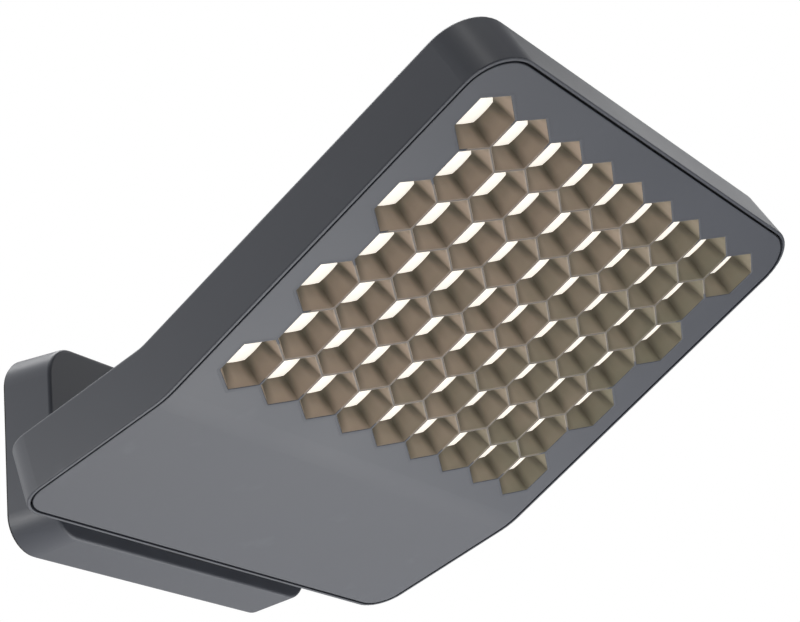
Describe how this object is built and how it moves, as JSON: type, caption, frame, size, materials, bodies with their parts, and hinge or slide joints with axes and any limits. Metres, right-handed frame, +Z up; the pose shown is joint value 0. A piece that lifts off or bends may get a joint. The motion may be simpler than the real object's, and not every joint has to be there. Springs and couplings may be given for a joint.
{
  "type": "outdoor wall light",
  "caption": "Outdoor wall light: a bent slab head with a honeycomb of lit cells in its underside, tilting on a hinge in front of a rounded wall box.",
  "frame": {"origin": "centre of the two wall slots, on the wall plane, which is also the wall box's centre", "axes": "+Z up, +Y into the wall, +X to the right seen from in front of the wall"},
  "size_m": [0.2, 0.2253, 0.1073],
  "materials": {
    "coat": "matte",
    "louvre": "satin",
    "opal": "matte",
    "black_rubber": "matte",
    "black_plastic": "matte",
    "white_plastic": "matte",
    "plated_steel": "satin",
    "stainless": "satin",
    "brass": "satin",
    "board": "satin",
    "led": "gloss",
    "pad": "matte",
    "cable": "matte",
    "wire": "satin",
    "washer": "matte"
  },
  "bodies": {
    "base": {"wall_plate": "plated_steel", "wall_gasket": "black_rubber", "wall_box": "coat", "box_screws": "stainless", "cable_grommet": "black_rubber", "terminal_block": "white_plastic", "terminal_inserts": "brass", "terminal_screws": "plated_steel", "earth_lug": "brass", "earth_screw": "brass", "supply_lead": "cable", "hinge_arm": "coat", "arm_seal": "black_rubber", "arm_screws": "stainless", "pivot_bolts": "stainless", "friction_washers": "washer", "pivot_washers": "stainless"},
    "head": {"hinge_yoke": "coat", "yoke_screws": "stainless", "head_housing": "coat", "front_panel": "coat", "panel_gasket": "black_rubber", "panel_screws": "stainless", "breather_vent": "black_plastic", "honeycomb_louvre": "louvre", "diffuser": "opal", "spacer_frame": "white_plastic", "led_board": "board", "leds": "led", "thermal_pad": "pad", "board_screws": "plated_steel", "led_connector": "white_plastic", "led_driver": "black_plastic", "driver_screws": "plated_steel", "led_leads": "wire", "head_lead": "cable", "lead_grommet": "black_rubber"}
  },
  "joints": [
    {"name": "head_tilt", "type": "hinge", "parent": "base", "child": "head", "pos_m": [0, -0.036, -0.0202], "axis": [-1, 0, 0], "range_deg": [-28, 45]}
  ]
}
